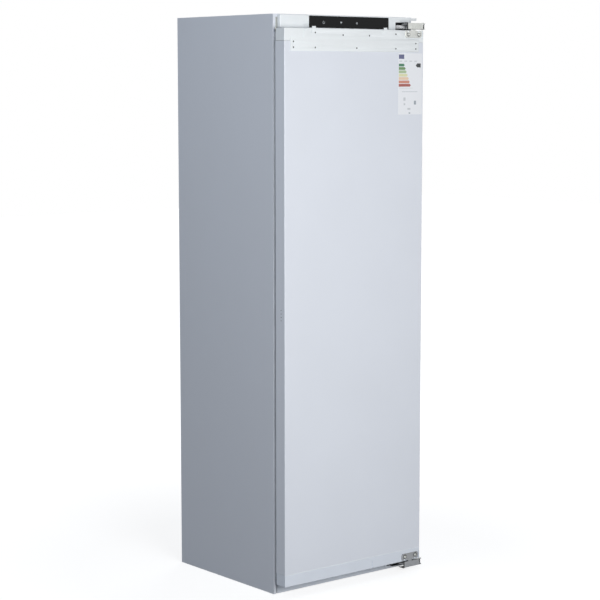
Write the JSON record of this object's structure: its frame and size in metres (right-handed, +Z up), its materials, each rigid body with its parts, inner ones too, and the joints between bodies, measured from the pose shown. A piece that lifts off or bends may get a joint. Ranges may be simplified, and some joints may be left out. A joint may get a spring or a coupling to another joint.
{
  "type": "column refrigerator",
  "caption": "Tall built-in refrigerator with a steel cabinet, a door on multi-link hinges, glass shelves, door bins, crisper drawers and a compressor niche.",
  "frame": {"origin": "centre of the cabinet's underside, on the floor of its niche", "axes": "+Z up the cabinet, +X to the right seen from the front, the door faces -Y"},
  "size_m": [0.5786, 0.5489, 1.772],
  "materials": {
    "grey_enamel": "satin grey coated steel",
    "pale_enamel": "satin pale grey coated steel",
    "white_moulding": "fine matt",
    "liner_white": "smooth thermoformed",
    "black_glass": "gloss black panel",
    "clear_glass": "clear toughened",
    "clear_plastic": "clear",
    "zinc_steel": "zinc plated",
    "black_plastic": "matt",
    "black_enamel": "satin black",
    "rubber": "matt",
    "foam": "rigid polyurethane foam",
    "circuit_board": "solder resist"
  },
  "bodies": {
    "upper_drawer": {"crisper_drawer_upper": "clear_plastic", "drawer_handle_upper": "white_moulding"},
    "lower_drawer": {"crisper_drawer_lower": "clear_plastic", "drawer_handle_lower": "white_moulding"},
    "cabinet": {"outer_shell": "grey_enamel", "back_panel": "zinc_steel", "niche_panel": "zinc_steel", "base_pan": "zinc_steel", "plinth_rail": "white_moulding", "top_rail": "zinc_steel", "inner_liner": "liner_white", "cabinet_foam": "foam", "fascia": "white_moulding", "control_glass": "black_glass", "control_board": "circuit_board", "niche_tab": "white_moulding", "hinge_housing_top": "black_plastic", "hinge_housing_bottom": "black_plastic", "shelf_1": "clear_glass", "shelf_2": "clear_glass", "shelf_3": "clear_glass", "shelf_4": "clear_glass", "shelf_5": "clear_glass", "shelf_trim_1": "white_moulding", "shelf_trim_2": "white_moulding", "shelf_trim_3": "white_moulding", "shelf_trim_4": "white_moulding", "shelf_trim_5": "white_moulding", "drawer_cover": "clear_glass", "drawer_cover_trim": "white_moulding", "duct_cover": "liner_white", "fan_motor": "black_plastic", "lamp_cover": "clear_plastic", "lamp_board": "circuit_board", "compressor": "black_enamel", "compressor_rail": "zinc_steel", "start_relay": "black_plastic", "evaporating_tray": "black_plastic", "condenser": "black_enamel"},
    "hinge_arms": {"hinge_arm_top": "zinc_steel", "hinge_arm_bottom": "zinc_steel"},
    "door": {"door_skin": "pale_enamel", "door_foam": "foam", "door_top_cap": "white_moulding", "door_bottom_cap": "white_moulding", "door_liner": "liner_white", "door_gasket": "rubber", "mounting_plate": "white_moulding", "door_arm_top": "zinc_steel", "door_arm_bottom": "zinc_steel", "bottle_bin": "clear_plastic", "door_bin_1": "clear_plastic", "door_bin_2": "clear_plastic", "door_bin_3": "clear_plastic", "door_bin_4": "clear_plastic"},
    "hinge_stays": {"hinge_stay_top": "zinc_steel", "hinge_stay_bottom": "zinc_steel"},
    "fan": {"fan_rotor": "black_plastic"}
  },
  "joints": [
    {"name": "arm_swing", "type": "hinge", "parent": "cabinet", "child": "hinge_arms", "pos_m": [0.236, -0.2542, 0.882], "axis": [0, 0, 1], "range_deg": [-44.6, 0.3]},
    {"name": "door_swing", "type": "hinge", "parent": "hinge_arms", "child": "door", "pos_m": [0.286, -0.2922, 0.882], "axis": [0, 0, 1], "range_deg": [0, 159.28]},
    {"name": "stay_swing", "type": "hinge", "parent": "door", "child": "hinge_stays", "pos_m": [0.2905, -0.2817, 0.882], "axis": [0, 0, 1], "range_deg": [-151, 0.3]},
    {"name": "lower_drawer_slide", "type": "slide", "parent": "cabinet", "child": "lower_drawer", "axis": [0, -1, 0], "range_m": [-0.0005, 0.1805]},
    {"name": "upper_drawer_slide", "type": "slide", "parent": "cabinet", "child": "upper_drawer", "axis": [0, -1, 0], "range_m": [-0.0005, 0.1805]},
    {"name": "fan_spin", "type": "hinge", "parent": "cabinet", "child": "fan", "pos_m": [0, 0.1513, 1.5], "axis": [0, 1, 0], "continuous": true}
  ],
  "couplings": [
    {"joint": "arm_swing", "follows": "door_swing", "ratio": -0.27798},
    {"joint": "stay_swing", "follows": "door_swing", "ratio": -0.94534},
    {"joint": "lower_drawer_slide", "follows": "door_swing", "m_per_rad": 0.064751},
    {"joint": "upper_drawer_slide", "follows": "door_swing", "m_per_rad": 0.064751}
  ]
}
